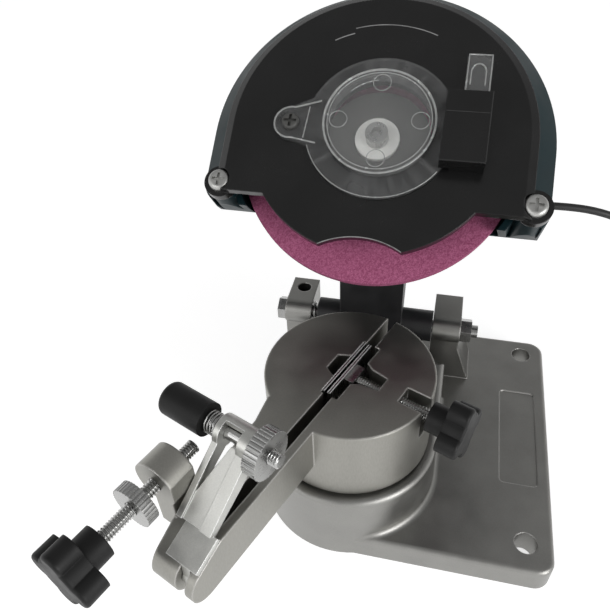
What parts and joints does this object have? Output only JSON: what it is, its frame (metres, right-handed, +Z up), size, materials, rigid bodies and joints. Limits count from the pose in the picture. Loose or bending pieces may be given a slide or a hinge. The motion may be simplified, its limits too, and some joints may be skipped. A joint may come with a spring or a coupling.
{
  "type": "chain grinder",
  "caption": "Small electric bench grinder for saw chain: tilting motor head with a guarded thin disc over a swivelling slotted chain vise on a cast base.",
  "frame": {"origin": "midway between the two bench bolt holes, on the base's underside", "axes": "+Z up, +Y away from the operator, +X to the operator's right; the two bolt holes lie along Y"},
  "size_m": [0.2955, 0.2681, 0.1798],
  "materials": {
    "cast_alloy": "satin cast",
    "machined_alloy": "brushed",
    "zinc": "bright cast zinc",
    "steel": "zinc plated",
    "black_knob": "matte moulded",
    "black_bracket": "satin black paint",
    "black_cover": "half gloss moulded",
    "teal_housing": "satin moulded dark teal",
    "clear_plastic": "clear moulded plastic",
    "abrasive": "grainy pink abrasive",
    "fan_plastic": "moulded",
    "copper_alloy": "bare",
    "carbon": "bare carbon",
    "cord_cover": "matte black",
    "tie_plastic": "moulded strap"
  },
  "bodies": {
    "base": {"base_casting": "cast_alloy", "hinge_bolt": "steel", "hinge_nut": "steel", "cord": "cord_cover", "cord_coil": "cord_cover", "cord_tail": "cord_cover", "cord_tie": "tie_plastic", "plug_body": "cord_cover", "plug_pins": "steel"},
    "turntable": {"turntable": "machined_alloy", "fixed_jaw": "steel", "lever_pin": "steel", "lock_stud": "steel", "lock_washer": "steel"},
    "lock_knob": {"lock_knob": "black_knob"},
    "clamp_jaw": {"moving_jaw": "steel"},
    "clamp_screw": {"clamp_screw": "steel", "clamp_knob": "black_knob"},
    "adjust_screw": {"adjust_screw": "steel"},
    "adjust_knob": {"adjust_knob": "black_knob"},
    "adjust_lock_nut": {"adjust_lock_nut": "steel"},
    "lever": {"stop_lever": "zinc", "stop_spring": "steel"},
    "stop_rod": {"stop_rod": "steel", "stop_grip": "black_knob"},
    "thumb_nut": {"thumb_nut": "steel"},
    "head": {"head_bracket": "black_bracket", "return_spring": "steel", "bracket_screws": "steel", "wheel_housing": "teal_housing", "wheel_cover": "black_cover", "cover_screws": "steel", "housing_screws": "steel", "window_pin": "steel", "latch_block": "black_cover", "motor_housing": "teal_housing", "motor_end_cap": "teal_housing", "end_cap_screws": "steel", "stator": "steel", "front_bearing": "steel", "rear_bearing": "steel", "brush_holders": "copper_alloy", "carbon_brushes": "carbon", "handle": "teal_housing", "handle_screws": "steel", "switch_body": "black_cover", "strain_relief": "cord_cover"},
    "window": {"hub_window": "clear_plastic"},
    "latch": {"latch_tongue": "clear_plastic"},
    "rocker": {"switch_rocker": "black_cover"},
    "wheel": {"grinding_wheel": "abrasive", "inner_flange": "steel", "outer_flange": "steel", "wheel_washer": "steel", "wheel_screw": "steel", "motor_shaft": "steel", "armature_core": "steel", "commutator": "copper_alloy", "cooling_fan": "fan_plastic"}
  },
  "joints": [
    {"name": "vise_swivel", "type": "hinge", "parent": "base", "child": "turntable", "pos_m": [-0.076, -0.029, 0.037], "axis": [0, 0, 1], "range_deg": [-12.7, 57.3]},
    {"name": "lock_turn", "type": "hinge", "parent": "turntable", "child": "lock_knob", "pos_m": [-0.076, -0.029, 0.02], "axis": [0, 0, 1], "range_deg": [0, 360]},
    {"name": "jaw_slide", "type": "slide", "parent": "turntable", "child": "clamp_jaw", "axis": [0.9252, -0.3795, 0], "range_m": [-0.0008, 0.0024]},
    {"name": "clamp_turn", "type": "hinge", "parent": "clamp_jaw", "child": "clamp_screw", "pos_m": [-0.076, -0.029, 0.068], "axis": [0.9252, -0.3795, 0], "range_deg": [-360, 1080]},
    {"name": "adjust_slide", "type": "slide", "parent": "turntable", "child": "adjust_screw", "axis": [-0.3795, -0.9252, 0], "range_m": [-0.002, 0.008]},
    {"name": "adjust_turn", "type": "hinge", "parent": "adjust_screw", "child": "adjust_knob", "pos_m": [-0.13476, -0.12379, 0.0847], "axis": [-0.3795, -0.9252, 0], "range_deg": [-900, 3600]},
    {"name": "lock_nut_slide", "type": "slide", "parent": "adjust_screw", "child": "adjust_lock_nut", "axis": [-0.3795, -0.9252, 0], "range_m": [-0.0035, 0.008]},
    {"name": "lever_flip", "type": "hinge", "parent": "turntable", "child": "lever", "pos_m": [-0.10988, -0.11162, 0.0604], "axis": [0.9252, -0.3795, 0], "range_deg": [0, 60]},
    {"name": "rod_push", "type": "slide", "parent": "lever", "child": "stop_rod", "axis": [0.9252, -0.3795, 0], "range_m": [0, 0.0025], "stiffness_N_per_m": 600, "springref_m": -0.003, "deforming": ["stop_spring"]},
    {"name": "thumb_nut_turn", "type": "hinge", "parent": "stop_rod", "child": "thumb_nut", "pos_m": [-0.09284, -0.08586, 0.092], "axis": [0.9252, -0.3795, 0], "range_deg": [0, 360]},
    {"name": "head_swing", "type": "hinge", "parent": "base", "child": "head", "pos_m": [-0.076, 0.035, 0.041], "axis": [1, 0, 0], "range_deg": [0, 23], "stiffness_Nm_per_rad": 0.6, "springref_deg": -17.19, "deforming": ["cord"]},
    {"name": "wheel_spin", "type": "hinge", "parent": "head", "child": "wheel", "pos_m": [-0.076, 0.03314, 0.13143], "axis": [0, -0.5948, 0.8039], "continuous": true},
    {"name": "window_swing", "type": "hinge", "parent": "head", "child": "window", "pos_m": [-0.108, 0.02125, 0.14751], "axis": [0, -0.5948, 0.8039], "range_deg": [0, 100]},
    {"name": "latch_pull", "type": "slide", "parent": "head", "child": "latch", "axis": [0, 0.8039, 0.5948], "range_m": [0, 0.006]},
    {"name": "rocker_tip", "type": "hinge", "parent": "head", "child": "rocker", "pos_m": [-0.076, 0.11967, 0.15068], "axis": [1, 0, 0], "range_deg": [0, 16]}
  ],
  "couplings": [
    {"joint": "clamp_turn", "follows": "jaw_slide", "rad_per_m": 7854},
    {"joint": "adjust_turn", "follows": "adjust_slide", "rad_per_m": 7854}
  ]
}
